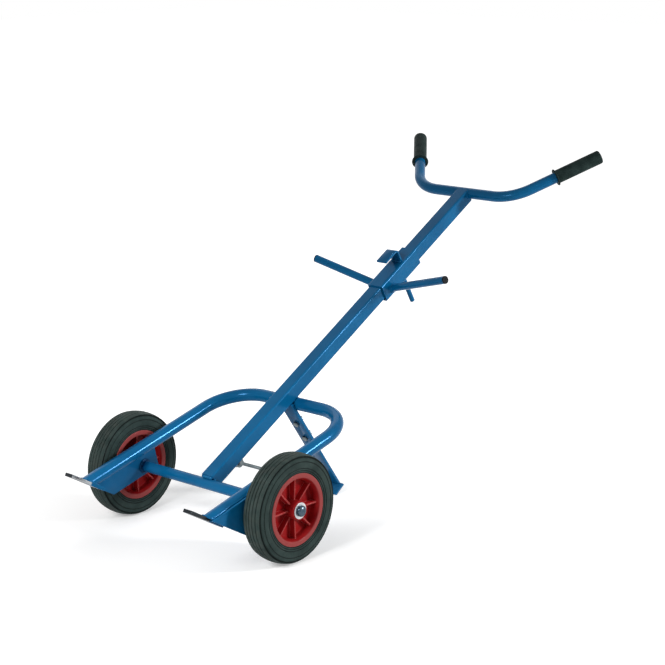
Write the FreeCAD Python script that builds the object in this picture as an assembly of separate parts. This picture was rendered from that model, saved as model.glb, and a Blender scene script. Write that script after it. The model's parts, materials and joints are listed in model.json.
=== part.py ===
import FreeCAD, Part
import math
import os

# Two-wheeled trolley with a leaning square stem, a bent handlebar, a tube hoop that
# carries two toes, a bolted prop stand with a stay, and a slider on the stem with a
# V cradle and a rim claw.  Millimetres.  X runs along the axle, Y from the toes to
# the handle and Z up.  The floor is at zero height and the origin lies on it under
# the middle of the whole outline.  Left is the +X side, as seen from the handle.

# Directions, turns and counts
across = FreeCAD.Vector(1, 0, 0)
lengthwise = FreeCAD.Vector(0, 1, 0)
upright = FreeCAD.Vector(0, 0, 1)
middle = FreeCAD.Vector(0, 0, 0)
right_angle = 90.0
full_turn = 360.0
hexagon_sides = 6
round_share = 1 - math.sqrt(0.5)
sides = {"left": 1, "right": -1}

# Lean of each main line from the floor
stem_angle = 30.0
hoop_angle = 14.5
toe_angle = 30.0
prop_angle = 54.5
handle_dip_angle = 1.0
cradle_angle = 17.2

# Cuts run past the faces by this much, and joined shapes sink into each other by the sink
overrun = 4.0
sink = 1.0
edge_tolerance = 0.001

# Stem: square tube, placed along its own line from the axle
stem_side = 35.0
stem_wall = 2.5
stem_corner = 4.0
stem_rise = 3.0
stem_foot = 9.0
stem_short_of_handle = 3.0

# Handlebar and grips
handle_station = 1067.5
handle_lift = 4.0
handle_radius = 13.5
handle_wall = 2.0
handle_corner = 144.0
handle_bend = 106.0
handle_splay_angle = 55.3
handle_arm = 246.0
grip_length = 124.0
grip_radius = 17.0
grip_flange_radius = 21.5
grip_flange = 3.5
grip_end = 4.0
grip_round = 4.0

# Hoop: one bent tube whose legs end on the toes
hoop_radius = 15.0
hoop_wall = 2.5
hoop_leg = 189.0
hoop_lift = 53.5
hoop_bend = 101.5

# Toes and gussets
toe_reach = 81.5
toe_width = 24.0
toe_inset = 4.8
toe_thickness = 8.0
toe_ahead = 70.0
toe_heel = 37.0
gusset_thickness = 6.0
gusset_back = 40.0
gusset_below = 20.0
gusset_over = 6.0
gusset_drop = 5.4

# Axle
axle_radius = 10.0
axle_tube_radius = 12.5
axle_tube_bore = 10.5
spacer_radius = 16.0
spacer_thickness = 3.5
cap_flange_radius = 18.9
cap_flange = 1.5
cap_dome_radius = 12.2
cap_wall = 1.0
cap_barrel = 5.0
cap_height = 11.5

# Wheels
wheel_radius = 120.0
tyre_depth = 42.5
tyre_width = 53.0
tyre_belly_drop = 21.0
tyre_shoulder_drop = 9.5
tyre_shoulder_tuck = 1.5
tyre_tread_width = 42.0
tyre_tread_drop = 3.0
tyre_corner_inset = 2.6
tyre_corner_drop = 4.8
tread_groove_count = 4
tread_groove_pitch = 8.6
tread_groove_width = 2.2
tread_groove_depth = 2.4
side_groove_steps = (5.5, 26.5)
side_groove_width = 1.8
side_groove_floor = 24.9
rim_width = 48.0
rim_lip = 3.5
rim_lip_height = 5.5
rim_lip_face = 7.5
rim_flare = 5.0
rim_flare_depth = 8.0
web_thickness = 6.0
boss_radius = 21.0
hub_length = 61.4
bush_radius = 14.0
rib_count = 8
rib_thickness = 3.6
rib_rim_setback = 6.0
rib_boss_setback = 8.0
side_gap = 0.3
running_gap = 0.05

# Slider on the stem; the sleeve hangs close to the stem's front face
sleeve_wall = 3.0
sleeve_side_gap = 2.0
sleeve_front_gap = 0.5
sleeve_corner = 5.0
sleeve_start = 673.0
sleeve_length = 146.0
cradle_inset = 32.5
cradle_radius = 9.5
cradle_wall = 2.0
cradle_drop = 8.6
cradle_length = 186.0
cradle_cap_head = 3.0
cradle_cap_edge = 1.5
cradle_cap_depth = 14.0
claw_setback = 46.0
claw_width = 30.0
claw_thickness = 5.0
claw_height = 36.0
claw_lip = 52.0
claw_bend = 10.0
pull_setback = 51.0
pull_radius = 6.0
pull_length = 81.0
pull_chamfer = 1.5

# Prop stand under the hoop arch
prop_width = 40.0
prop_thickness = 6.0
prop_top = 34.0
bracket_width = 24.0
bracket_thickness = 6.0
bracket_bottom = 122.0
prop_bolt_stations = (50.0, 100.0)
foot_width = 60.0
foot_depth = 34.0
foot_thickness = 5.0
bolt_radius = 4.0
bolt_slack = 0.2
bolt_flats = 13.0
bolt_head = 5.3
bolt_end = 2.5
nut_height = 6.5

# Stay between the stem and the prop foot
eye_station = 98.0
eye_drop = 11.5
eye_radius = 11.0
eye_thickness = 9.0
stay_radius = 4.0
lug_thickness = 5.0
lug_radius = 12.0


def vec(x, y, z):
    return FreeCAD.Vector(x, y, z)


def sine(angle):
    return math.sin(math.radians(angle))


def cosine(angle):
    return math.cos(math.radians(angle))


def tilted(base, angle):
    """Frame with local Z along a slope in the Y-Z plane and local Y on its lower side."""
    return FreeCAD.Placement(base, FreeCAD.Rotation(across, angle - right_angle))


def placed(shape, frame):
    shape = shape.copy()
    shape.Placement = frame.multiply(shape.Placement)
    return shape


def pointed(shape, base, direction):
    """Shape built along X, moved to a base point and turned to a direction."""
    return placed(shape, FreeCAD.Placement(base, FreeCAD.Rotation(across, direction)))


def bar(radius, start, end):
    """Round bar between two points."""
    run = end.sub(start)
    return Part.makeCylinder(radius, run.Length, start, run)


def block(low, high):
    size = high.sub(low)
    return Part.makeBox(size.x, size.y, size.z, low)


def square_bar(side, corner, start, end):
    """Square bar along local Z with its long corners rounded."""
    solid = block(vec(-side / 2, -side / 2, start), vec(side / 2, side / 2, end))
    long_edges = []
    for edge in solid.Edges:
        if max(edge.BoundBox.XLength, edge.BoundBox.YLength) < edge_tolerance * side:
            long_edges.append(edge)
    return solid.makeFillet(corner, long_edges)


def outline(start, steps, place):
    """Closed face: a step is an end pair, or a pair of pairs for an arc through the first."""
    edges = []
    here = start
    for step in list(steps) + [start]:
        if isinstance(step[0], tuple):
            through, end = step
            edges.append(Part.Arc(place(*here), place(*through), place(*end)).toShape())
        else:
            end = step
            edges.append(Part.makeLine(place(*here), place(*end)))
        here = end
    return Part.Face(Part.Wire(edges))


def turned(start, steps):
    """Outline of (along X, radius) pairs turned about the X line."""
    face = outline(start, steps, lambda x, radius: vec(x, 0, radius))
    return face.revolve(middle, across, full_turn)


def plate(start, steps, low, high):
    """Outline of local (y, z) pairs stretched across from low to high."""
    face = outline(start, steps, lambda y, z: vec(low, y, z))
    return face.extrude(across * (high - low))


def bent_bar(points, bend, radius):
    """Round bar through corner points, each inner corner rounded to the bend radius."""
    edges = []
    here = points[0]
    for before, corner, after in zip(points, points[1:], points[2:]):
        back = before.sub(corner).normalize()
        ahead = after.sub(corner).normalize()
        half_angle = back.getAngle(ahead) / 2
        inward = back.add(ahead).normalize()
        tangent = bend / math.tan(half_angle)
        crown = bend / math.sin(half_angle) - bend
        first = corner.add(back * tangent)
        last = corner.add(ahead * tangent)
        edges.append(Part.makeLine(here, first))
        edges.append(Part.Arc(first, corner.add(inward * crown), last).toShape())
        here = last
    edges.append(Part.makeLine(here, points[-1]))
    section = Part.Wire(Part.makeCircle(radius, points[0], points[1].sub(points[0])))
    return Part.Wire(edges).makePipeShell([section], True, False)


def hexagon(flats, start, end, side):
    """Hexagonal block between two points, one corner towards the side direction."""
    run = end.sub(start)
    step = FreeCAD.Rotation(run, full_turn / hexagon_sides)
    arm = side * (flats / math.sqrt(3))
    corners = []
    for _ in range(hexagon_sides):
        corners.append(start.add(arm))
        arm = step.multVec(arm)
    return Part.Face(Part.makePolygon(corners + corners[:1])).extrude(run)


def bolt(seat, inner_end, side):
    """Hex bolt with its head on the seat and its shank running to the inner end."""
    outward = seat.sub(inner_end).normalize()
    head = hexagon(bolt_flats, seat, seat.add(outward * bolt_head), side)
    shank = bar(bolt_radius, inner_end, seat.add(outward * (bolt_head / 2)))
    return head.fuse(shank).removeSplitter()


def nut(seat, outward, side):
    """Hex nut on a seat, tapped to the bolt."""
    end = seat.add(outward * nut_height)
    hole = bar(bolt_radius, seat.sub(outward * overrun), end.add(outward * overrun))
    return hexagon(bolt_flats, seat, end, side).cut(hole)


# Frames and stations shared by the pieces
axle_centre = vec(0, 0, wheel_radius)
stem_normal = vec(0, -sine(stem_angle), cosine(stem_angle))
stem_frame = tilted(axle_centre.add(stem_normal * stem_rise), stem_angle)
handle_centre = stem_frame.multVec(vec(0, -handle_lift, handle_station))
handle_frame = tilted(handle_centre, stem_angle - handle_dip_angle)

hoop_normal = vec(0, -sine(hoop_angle), cosine(hoop_angle))
hoop_frame = tilted(axle_centre.add(hoop_normal * hoop_lift), hoop_angle)
hoop_gap_angle = stem_angle - hoop_angle
hoop_touch = stem_side / 2 + hoop_radius - stem_rise
hoop_arch = (hoop_lift * cosine(hoop_gap_angle) + hoop_touch) / sine(hoop_gap_angle)
arch_centre = hoop_frame.multVec(vec(0, 0, hoop_arch))


def toe_line(lift, drop=0):
    """Place along the hoop, at a lift above the axle, of a plane a drop below the toe's top."""
    meeting_angle = toe_angle + hoop_angle
    return -(toe_reach + drop + lift * cosine(meeting_angle)) / sine(meeting_angle)


leg_foot = toe_line(hoop_lift)
gusset_in = hoop_leg + hoop_radius
gusset_out = gusset_in + gusset_thickness
hub_in = gusset_out + spacer_thickness + side_gap
wheel_centre = hub_in + hub_length / 2
cap_face = hub_in + hub_length + side_gap
axle_end = cap_face + cap_barrel
rim_radius = wheel_radius - tyre_depth
rim_seat = rim_radius - rim_lip_height
rim_mouth = rim_radius - rim_lip_face
barrel_bore = rim_mouth - rim_flare
sleeve_end = sleeve_start + sleeve_length
cradle_station = sleeve_start + cradle_inset
claw_station = sleeve_end - claw_setback
pull_station = sleeve_end - pull_setback
sleeve_bore = stem_side + 2 * sleeve_side_gap
sleeve_side = sleeve_bore + 2 * sleeve_wall
sleeve_sag = sleeve_side_gap - sleeve_front_gap
sleeve_front = sleeve_sag - sleeve_side / 2
sleeve_under = sleeve_sag + sleeve_side / 2

prop_frame = tilted(arch_centre, -prop_angle)
prop_back = hoop_radius
prop_front = prop_back + prop_thickness
bracket_back = prop_back - bracket_thickness
foot_front = prop_back + foot_depth
foot_floor = (arch_centre.z - foot_front * cosine(prop_angle)) / sine(prop_angle)
foot_top = foot_floor - foot_thickness

eye_under = stem_side / 2 + eye_drop
eye_centre = stem_frame.multVec(vec(0, eye_under, eye_station))
stay_foot = prop_frame.multVec(vec(0, (prop_front + foot_front) / 2, foot_top))


def stem_tube():
    top = handle_station - stem_short_of_handle
    outer = square_bar(stem_side, stem_corner, stem_foot, top)
    bore_side = stem_side - 2 * stem_wall
    bore = square_bar(bore_side, stem_corner - stem_wall, stem_foot - overrun, top + overrun)
    tube = placed(outer.cut(bore), stem_frame)
    reach = across * stem_side
    tube = tube.cut(bar(axle_tube_radius, axle_centre.sub(reach), axle_centre.add(reach)))
    return tube.cut(bar(handle_radius, handle_centre.sub(reach), handle_centre.add(reach)))


def handle_direction(sign):
    return vec(sign * cosine(handle_splay_angle), 0, sine(handle_splay_angle))


def handle_point(sign, distance):
    """Point on a handlebar arm, in the handlebar's frame, at a distance from its corner."""
    return vec(sign * handle_corner, 0, 0).add(handle_direction(sign) * distance)


def handlebar_tube():
    end = handle_arm - grip_end
    points = [handle_point(-1, end), handle_point(-1, 0), handle_point(1, 0), handle_point(1, end)]
    outer = bent_bar(points, handle_bend, handle_radius)
    inner = bent_bar(points, handle_bend, handle_radius - handle_wall)
    return placed(outer.cut(inner), handle_frame)


def grip(sign):
    """Moulded grip with a rounded guard flange and a closed, rounded end."""
    start = handle_arm - grip_length
    seat = grip_length - grip_end
    guard = grip_flange_radius - grip_flange / 2
    tail = grip_length - grip_round
    end_arc = ((grip_length - grip_round * round_share, grip_radius - grip_round * round_share),
               (grip_length, grip_radius - grip_round))
    steps = [(0, guard), ((grip_flange / 2, grip_flange_radius), (grip_flange, guard)),
             (grip_flange, grip_radius), (tail, grip_radius), end_arc, (grip_length, 0),
             (seat, 0), (seat, handle_radius)]
    shape = pointed(turned((0, handle_radius), steps), handle_point(sign, start),
                    handle_direction(sign))
    return placed(shape, handle_frame)


def hoop_tube():
    end = leg_foot - hoop_radius / math.tan(math.radians(toe_angle + hoop_angle)) - overrun
    points = [vec(-hoop_leg, 0, end), vec(-hoop_leg, 0, hoop_arch),
              vec(hoop_leg, 0, hoop_arch), vec(hoop_leg, 0, end)]
    outer = bent_bar(points, hoop_bend, hoop_radius)
    inner = bent_bar(points, hoop_bend, hoop_radius - hoop_wall)
    tube = placed(outer.cut(inner), hoop_frame)
    width = hoop_leg + 2 * hoop_radius
    depth = 4 * hoop_radius
    below = block(vec(-width, -depth, -depth), vec(width, 0, depth))
    return tube.cut(placed(below, toe_frame()))


def toe_frame():
    return tilted(hoop_frame.multVec(vec(0, 0, leg_foot)), 2 * right_angle - toe_angle)


def toe(sign):
    centre = sign * (hoop_leg - toe_inset)
    low = vec(centre - toe_width / 2, -toe_thickness, -toe_heel)
    high = vec(centre + toe_width / 2, 0, toe_ahead)
    return placed(block(low, high), toe_frame())


def gusset(sign):
    """Side plate between a hoop leg and the axle, its lower edge beside the toe."""
    top = -gusset_over
    bottom = hoop_lift + gusset_below
    faces = sorted((sign * gusset_in, sign * gusset_out))
    steps = [(bottom, gusset_back), (bottom, toe_line(-gusset_below, gusset_drop)),
             (top, toe_line(hoop_lift + gusset_over, gusset_drop))]
    shape = placed(plate((top, gusset_back), steps, *faces), hoop_frame)
    reach = across * (gusset_out + overrun)
    return shape.cut(bar(axle_radius, axle_centre.sub(reach), axle_centre.add(reach)))


def axle_tube():
    half = across * gusset_in
    past = across * (gusset_in + overrun)
    bore = bar(axle_tube_bore, axle_centre.sub(past), axle_centre.add(past))
    return bar(axle_tube_radius, axle_centre.sub(half), axle_centre.add(half)).cut(bore)


def axle_rod():
    half = across * axle_end
    return bar(axle_radius, axle_centre.sub(half), axle_centre.add(half))


def on_axle(shape, sign, place):
    """Turned piece moved onto the axle line, facing outwards at a place from the middle."""
    return pointed(shape, axle_centre.add(across * (sign * place)), across * sign)


def axle_spacers():
    ring = turned((0, axle_radius), [(0, spacer_radius), (spacer_thickness, spacer_radius),
                                     (spacer_thickness, axle_radius)])
    return Part.makeCompound([on_axle(ring, sign, gusset_out) for sign in sides.values()])


def dome_middle(base, radius, crown):
    """Middle point of a round arc that rises by the crown from a base edge to the axis."""
    sphere = (radius ** 2 + crown ** 2) / (2 * crown)
    half_angle = math.asin(radius / sphere) / 2
    return (base + crown - sphere * (1 - math.cos(half_angle)), sphere * math.sin(half_angle))


def axle_caps():
    """Domed push-on caps that hold the wheels on the axle."""
    inner_radius = cap_dome_radius - cap_wall
    crown = cap_height - cap_barrel
    cavity = crown - cap_wall
    steps = [(0, cap_flange_radius), (cap_flange, cap_flange_radius), (cap_flange, cap_dome_radius),
             (cap_barrel, cap_dome_radius),
             (dome_middle(cap_barrel, cap_dome_radius, crown), (cap_height, 0)),
             (cap_barrel + cavity, 0),
             (dome_middle(cap_barrel, inner_radius, cavity), (cap_barrel, inner_radius)),
             (cap_flange, inner_radius), (cap_flange, axle_radius)]
    cap = turned((0, axle_radius), steps)
    return Part.makeCompound([on_axle(cap, sign, cap_face) for sign in sides.values()])


def rim(sign):
    """Wheel centre: flared barrel, web, long boss and radial ribs on both faces."""
    edge = rim_width / 2
    bed = edge - rim_lip
    flare = edge - rim_flare_depth
    web = web_thickness / 2
    hub = hub_length / 2
    steps = [(hub, bush_radius), (hub, boss_radius), (web, boss_radius), (web, barrel_bore),
             (flare, barrel_bore), (edge, rim_mouth), (edge, rim_radius), (bed, rim_radius),
             (bed, rim_seat), (-bed, rim_seat), (-bed, rim_radius), (-edge, rim_radius),
             (-edge, rim_mouth), (-flare, barrel_bore), (-web, barrel_bore), (-web, boss_radius),
             (-hub, boss_radius)]
    shape = turned((-hub, bush_radius), steps)
    near = boss_radius - sink
    far = barrel_bore + sink
    ribs = []
    for face in sides.values():
        high = face * (edge - rib_rim_setback)
        low = face * (edge - rib_boss_setback)
        root = face * (web - sink)
        profile = outline((root, near), [(low, near), (high, far), (root, far)],
                          lambda x, radius: vec(x, -rib_thickness / 2, radius))
        rib = profile.extrude(vec(0, rib_thickness, 0))
        for number in range(rib_count):
            spoke = rib.copy()
            spoke.rotate(middle, across, number * full_turn / rib_count)
            ribs.append(spoke)
    return on_axle(shape.fuse(ribs).removeSplitter(), sign, wheel_centre)


def tyre(sign):
    """Solid tyre with ring grooves in the tread and in both side walls."""
    edge = rim_width / 2
    bed = edge - rim_lip
    half = tyre_width / 2
    shoulder = half - tyre_shoulder_tuck
    corner = half - tyre_corner_inset
    tread = tyre_tread_width / 2
    belly_radius = wheel_radius - tyre_belly_drop
    shoulder_radius = wheel_radius - tyre_shoulder_drop
    corner_radius = wheel_radius - tyre_corner_drop
    tread_radius = wheel_radius - tyre_tread_drop
    steps = [(bed, rim_seat), (bed, rim_radius), (edge, rim_radius),
             ((half, belly_radius), (shoulder, shoulder_radius)),
             ((corner, corner_radius), (tread, tread_radius)),
             ((0, wheel_radius), (-tread, tread_radius)),
             ((-corner, corner_radius), (-shoulder, shoulder_radius)),
             ((-half, belly_radius), (-edge, rim_radius)), (-bed, rim_radius)]
    shape = turned((-bed, rim_seat), steps)
    cuts = []
    for number in range(tread_groove_count):
        place = (number - (tread_groove_count - 1) / 2) * tread_groove_pitch
        cuts.append(groove(place - tread_groove_width / 2, place + tread_groove_width / 2,
                           wheel_radius - tread_groove_depth, wheel_radius + overrun))
    for step in side_groove_steps:
        low = rim_radius + step - side_groove_width / 2
        high = low + side_groove_width
        cuts.append(groove(side_groove_floor, half + overrun, low, high))
        cuts.append(groove(-half - overrun, -side_groove_floor, low, high))
    return on_axle(shape.cut(cuts), sign, wheel_centre)


def groove(low, high, inner_radius, outer_radius):
    return turned((low, inner_radius), [(high, inner_radius), (high, outer_radius),
                                        (low, outer_radius)])


def bush(sign):
    half = hub_length / 2
    bore = axle_radius + running_gap
    shape = turned((-half, bore), [(half, bore), (half, bush_radius), (-half, bush_radius)])
    return on_axle(shape, sign, wheel_centre)


def slider_sleeve():
    outer = square_bar(sleeve_side, sleeve_corner, sleeve_start, sleeve_end)
    inner = square_bar(sleeve_bore, sleeve_corner - sleeve_wall, sleeve_start - overrun,
                       sleeve_end + overrun)
    sleeve = outer.cut(inner)
    sleeve.translate(vec(0, sleeve_sag, 0))
    return placed(sleeve, stem_frame)


def cradle_direction(sign):
    return vec(sign * cosine(cradle_angle), -sine(cradle_angle), 0)


def cradle_point(sign, distance):
    """Point on an arm, in the stem's frame, at a distance from the sleeve's side."""
    root = vec(sign * sleeve_side / 2, cradle_drop, cradle_station)
    return root.add(cradle_direction(sign) * distance)


def cradle_arm(sign):
    """Round tube arm with its root cut to lie on the sleeve's side."""
    start = cradle_point(sign, -cradle_radius)
    arm = bar(cradle_radius, start, cradle_point(sign, cradle_length))
    bore = bar(cradle_radius - cradle_wall, start, cradle_point(sign, cradle_length + overrun))
    half = vec(sleeve_side, sleeve_side, sleeve_side) / 2
    centre = vec(0, 0, cradle_station)
    return placed(arm.cut([bore, block(centre.sub(half), centre.add(half))]), stem_frame)


def cradle_cap(sign):
    """Push-in end cap of an arm, its round head as wide as the tube."""
    plug = cradle_radius - cradle_wall
    edge = cradle_radius - cradle_cap_edge
    shoulder = cradle_cap_head - cradle_cap_edge
    ease = cradle_cap_edge * round_share
    edge_arc = ((cradle_cap_head - ease, cradle_radius - ease), (cradle_cap_head, edge))
    shape = turned((-cradle_cap_depth, 0), [
        (-cradle_cap_depth, plug), (0, plug), (0, cradle_radius), (shoulder, cradle_radius),
        edge_arc, (cradle_cap_head, 0)])
    shape = pointed(shape, cradle_point(sign, cradle_length), cradle_direction(sign))
    return placed(shape, stem_frame)


def rim_claw():
    """Bent plate standing on the sleeve, its lip pointing down the stem."""
    base = sleeve_front
    top = base - claw_height
    back = claw_station
    tip = back - claw_lip
    inner = claw_bend - claw_thickness
    low = top + claw_thickness
    front = back - claw_thickness
    outer_arc = ((top + claw_bend * round_share, back - claw_bend * round_share),
                 (top, back - claw_bend))
    inner_arc = ((low + inner * round_share, front - inner * round_share), (low + inner, front))
    steps = [(top + claw_bend, back), outer_arc, (top, tip), (low, tip), (low, back - claw_bend),
             inner_arc, (base, front)]
    return placed(plate((base, back), steps, -claw_width / 2, claw_width / 2), stem_frame)


def pull_rod():
    shape = turned((0, 0), [(0, pull_radius), (pull_length - pull_chamfer, pull_radius),
                            (pull_length, pull_radius - pull_chamfer), (pull_length, 0)])
    base = vec(0, sleeve_under, pull_station)
    return placed(pointed(shape, base, lengthwise), stem_frame)


def prop_bolt_holes():
    holes = []
    for station in prop_bolt_stations:
        start = vec(0, bracket_back - overrun, station)
        end = vec(0, prop_front + overrun, station)
        holes.append(bar(bolt_radius + bolt_slack, start, end))
    return holes


def stand_bracket():
    """Tab behind the leg, its top end shaped to the underside of the hoop arch."""
    half = bracket_width / 2
    shape = block(vec(-half, bracket_back, 0), vec(half, prop_back, bracket_bottom))
    arch = bar(hoop_radius, vec(-bracket_width, 0, 0), vec(bracket_width, 0, 0))
    return placed(shape.cut(prop_bolt_holes() + [arch]), prop_frame)


def prop_leg():
    """Flat bar against the hoop arch, its top end cut to the underside of the stem."""
    half = prop_width / 2
    shape = block(vec(-half, prop_back, -prop_top), vec(half, prop_front, foot_top))
    shape = placed(shape.cut(prop_bolt_holes()), prop_frame)
    reach = vec(prop_width, stem_side / 2, 2 * hoop_arch)
    above = block(vec(-prop_width, -stem_side, 0), reach)
    return shape.cut(placed(above, stem_frame))


def prop_foot():
    half = foot_width / 2
    shape = block(vec(-half, prop_back, foot_top), vec(half, foot_front, foot_floor))
    return placed(shape, prop_frame)


def prop_bolts():
    end = bracket_back - nut_height - bolt_end
    bolts = [bolt(vec(0, prop_front, station), vec(0, end, station), across)
             for station in prop_bolt_stations]
    return placed(Part.makeCompound(bolts), prop_frame)


def prop_nuts():
    outward = lengthwise.negative()
    nuts = [nut(vec(0, bracket_back, station), outward, across) for station in prop_bolt_stations]
    return placed(Part.makeCompound(nuts), prop_frame)


def stay_lug():
    """Rounded tab under the stem, on the right face of the stay's eye."""
    face = -eye_thickness / 2
    low = face - lug_thickness
    flank = stem_side / 2
    steps = [(eye_under, eye_station - lug_radius),
             ((eye_under + lug_radius, eye_station), (eye_under, eye_station + lug_radius)),
             (flank, eye_station + lug_radius)]
    shape = plate((flank, eye_station - lug_radius), steps, low, face)
    start = vec(low - overrun, eye_under, eye_station)
    return placed(shape.cut(bar(bolt_radius + bolt_slack, start, vec(0, eye_under, eye_station))),
                  stem_frame)


def stay_rod():
    """Round rod with an eye, its lower end cut to lie on the prop foot."""
    run = stay_foot.sub(eye_centre)
    run.normalize()
    half = across * (eye_thickness / 2)
    past = across * (eye_thickness / 2 + overrun)
    eye = bar(eye_radius, eye_centre.sub(half), eye_centre.add(half))
    rod = bar(stay_radius, eye_centre, stay_foot.add(run * (2 * foot_thickness)))
    hole = bar(bolt_radius + bolt_slack, eye_centre.sub(past), eye_centre.add(past))
    depth = 4 * foot_thickness
    under = block(vec(-foot_width, prop_back - depth, foot_top),
                  vec(foot_width, foot_front + depth, foot_top + depth))
    return eye.fuse(rod).removeSplitter().cut([hole, placed(under, prop_frame)])


def stay_bolt():
    seat = eye_centre.add(across * (eye_thickness / 2))
    end = eye_centre.sub(across * (eye_thickness / 2 + lug_thickness + nut_height + bolt_end))
    return bolt(seat, end, upright)


def stay_nut():
    seat = eye_centre.sub(across * (eye_thickness / 2 + lug_thickness))
    return nut(seat, across.negative(), upright)


pieces = {
    "stem_tube": stem_tube(),
    "handlebar_tube": handlebar_tube(),
    "hoop_tube": hoop_tube(),
    "axle_tube": axle_tube(),
    "axle_rod": axle_rod(),
    "axle_spacers": axle_spacers(),
    "axle_caps": axle_caps(),
    "stand_bracket": stand_bracket(),
    "prop_leg": prop_leg(),
    "prop_foot": prop_foot(),
    "prop_bolts": prop_bolts(),
    "prop_nuts": prop_nuts(),
    "stay_lug": stay_lug(),
    "stay_rod": stay_rod(),
    "stay_bolt": stay_bolt(),
    "stay_nut": stay_nut(),
    "slider_sleeve": slider_sleeve(),
    "rim_claw": rim_claw(),
    "pull_rod": pull_rod(),
}
for name, sign in sides.items():
    pieces["grip_" + name] = grip(sign)
    pieces["gusset_" + name] = gusset(sign)
    pieces["toe_" + name] = toe(sign)
    pieces["rim_" + name] = rim(sign)
    pieces["tyre_" + name] = tyre(sign)
    pieces["bush_" + name] = bush(sign)
    pieces["cradle_arm_" + name] = cradle_arm(sign)
    pieces["cradle_cap_" + name] = cradle_cap(sign)

# Bring the middle of the outline over the origin and write one file per piece
boxes = [shape.optimalBoundingBox(False, False) for shape in pieces.values()]
front = min(box.YMin for box in boxes)
back = max(box.YMax for box in boxes)
os.makedirs("parts", exist_ok=True)
for name, shape in pieces.items():
    shape.translate(vec(0, -(front + back) / 2, 0))
    shape.exportStep("parts/" + name + ".step")
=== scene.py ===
import json
import math
import random

import bmesh
import bpy
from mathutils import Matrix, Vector

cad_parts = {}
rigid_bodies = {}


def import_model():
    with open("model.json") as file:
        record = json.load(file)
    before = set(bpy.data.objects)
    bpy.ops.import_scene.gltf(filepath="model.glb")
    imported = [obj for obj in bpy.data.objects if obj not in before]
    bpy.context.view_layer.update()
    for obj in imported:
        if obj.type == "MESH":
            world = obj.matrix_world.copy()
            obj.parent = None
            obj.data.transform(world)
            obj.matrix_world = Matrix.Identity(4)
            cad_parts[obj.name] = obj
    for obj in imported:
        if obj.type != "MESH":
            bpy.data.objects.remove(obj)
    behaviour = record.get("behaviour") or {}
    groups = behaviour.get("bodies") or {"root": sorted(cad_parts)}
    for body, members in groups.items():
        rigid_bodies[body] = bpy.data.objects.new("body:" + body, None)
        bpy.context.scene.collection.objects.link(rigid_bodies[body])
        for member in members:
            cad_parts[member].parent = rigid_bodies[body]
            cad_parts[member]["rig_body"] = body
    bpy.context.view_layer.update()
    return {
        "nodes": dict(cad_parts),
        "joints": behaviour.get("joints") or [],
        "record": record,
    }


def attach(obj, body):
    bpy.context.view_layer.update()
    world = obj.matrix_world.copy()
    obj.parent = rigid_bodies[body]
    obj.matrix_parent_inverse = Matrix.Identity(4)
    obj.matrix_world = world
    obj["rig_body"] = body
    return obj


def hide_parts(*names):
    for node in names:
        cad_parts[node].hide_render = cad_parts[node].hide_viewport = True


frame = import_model()
joints = {joint["name"]: joint for joint in frame["joints"]}

# Places that the frame gives, in metres: the axle line, the wheels and the stem's slope
across = Vector((1, 0, 0))
wheel_middle = joints["wheel_left_spin"]["pos_m"][0]
axle = Vector((0, *joints["wheel_left_spin"]["pos_m"][1:]))
slope = Vector(joints["slider_slide"]["axis"])
sides = {"left": 1, "right": -1}

# Camera, from the floor under the axle, with its lens and sensor in millimetres
camera_from_axle = Vector((2.73019, -2.67942, 1.36758))
camera_turn = [math.radians(angle) for angle in (76.6688, 0.1462, 41.3613)]
camera_lens = 97.987
camera_sensor = 36.0

# Softboxes that shine at the axle: spread in degrees, power in watts
softboxes = {
    "strip_light": {"direction": (0.765, 0.50, 0.36), "distance": 4.5, "size": (0.5, 0.70),
                    "spread": 180, "power": 124.0},
    "main_light": {"direction": (0.78, 0.45, 0.44), "distance": 1.8, "size": (0.9, 0.9),
                   "spread": 100, "power": 0.6},
    "front_light": {"direction": (0.12, -0.82, 0.56), "distance": 1.8, "size": (0.6, 0.6),
                    "spread": 70, "power": 4.3},
    "back_light": {"direction": (-0.60, 0.60, 0.50), "distance": 4.5, "size": (3.0, 3.0),
                   "spread": 180, "power": 24.0},
}

# White studio: the sky's light, and the floor's glow, which grows with the distance from the axle
sky_strength = 0.24
floor_size = 30.0
floor_glow = (0.35, 0.90)
floor_glow_reach = (0.30, 0.9)

# Frame lines, as the stem, the hoop, the toes and the prop stand lie
stem_angle = math.atan2(slope.z, slope.y)
stem_rise = 0.003
stem_half = 0.0175
hoop_angle = math.radians(14.5)
hoop_lift = 0.0535
hoop_radius = 0.015
hoop_leg = 0.189
toe_angle = math.radians(30.0)
toe_reach = 0.0815
prop_angle = math.radians(-54.5)
gusset_face = hoop_leg + hoop_radius
gusset_back = 0.040
axle_tube_radius = 0.0125

# Handlebar and grips
handle_station = 1.0675
handle_lift = 0.004
handle_radius = 0.0135
handle_dip = math.radians(1.0)
handle_corner = 0.144
handle_splay = math.radians(55.3)
handle_arm = 0.246
grip_length = 0.124
grip_radius = 0.017
grip_flange = 0.0035
grip_flange_radius = 0.0215
grip_end_wall = 0.004
grip_mouth_round = 0.0003
grip_flange_round = 0.0022
grip_neck_round = 0.0015
grip_end_round = 0.0045
grip_turn_steps = 72

# Wheel centres
rim_half = 0.024
rim_radius = 0.0775
rim_mouth = 0.070
rim_lip = (0.0693, 0.0797)
rim_lip_proud = 0.0014
rim_lip_inner_round = 0.0022
rim_lip_outer_round = 0.0010
rim_bed_half = 0.0205
rim_bed_radius = 0.072
barrel_bore = 0.065
barrel_round = 0.0030
flare_depth = 0.008
web_half = 0.003
boss_radius = 0.021
boss_round = 0.0012
boss_root_round = 0.0020
hub_half = 0.0307
bush_radius = 0.014
bush_mouth_round = 0.0004
rib_count = 8
rib_root_half = 0.00225
rib_crest_half = 0.00144
rib_rim_face = 0.018
rib_boss_face = 0.016
rib_sink = 0.001
rib_round = 0.0006

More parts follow.
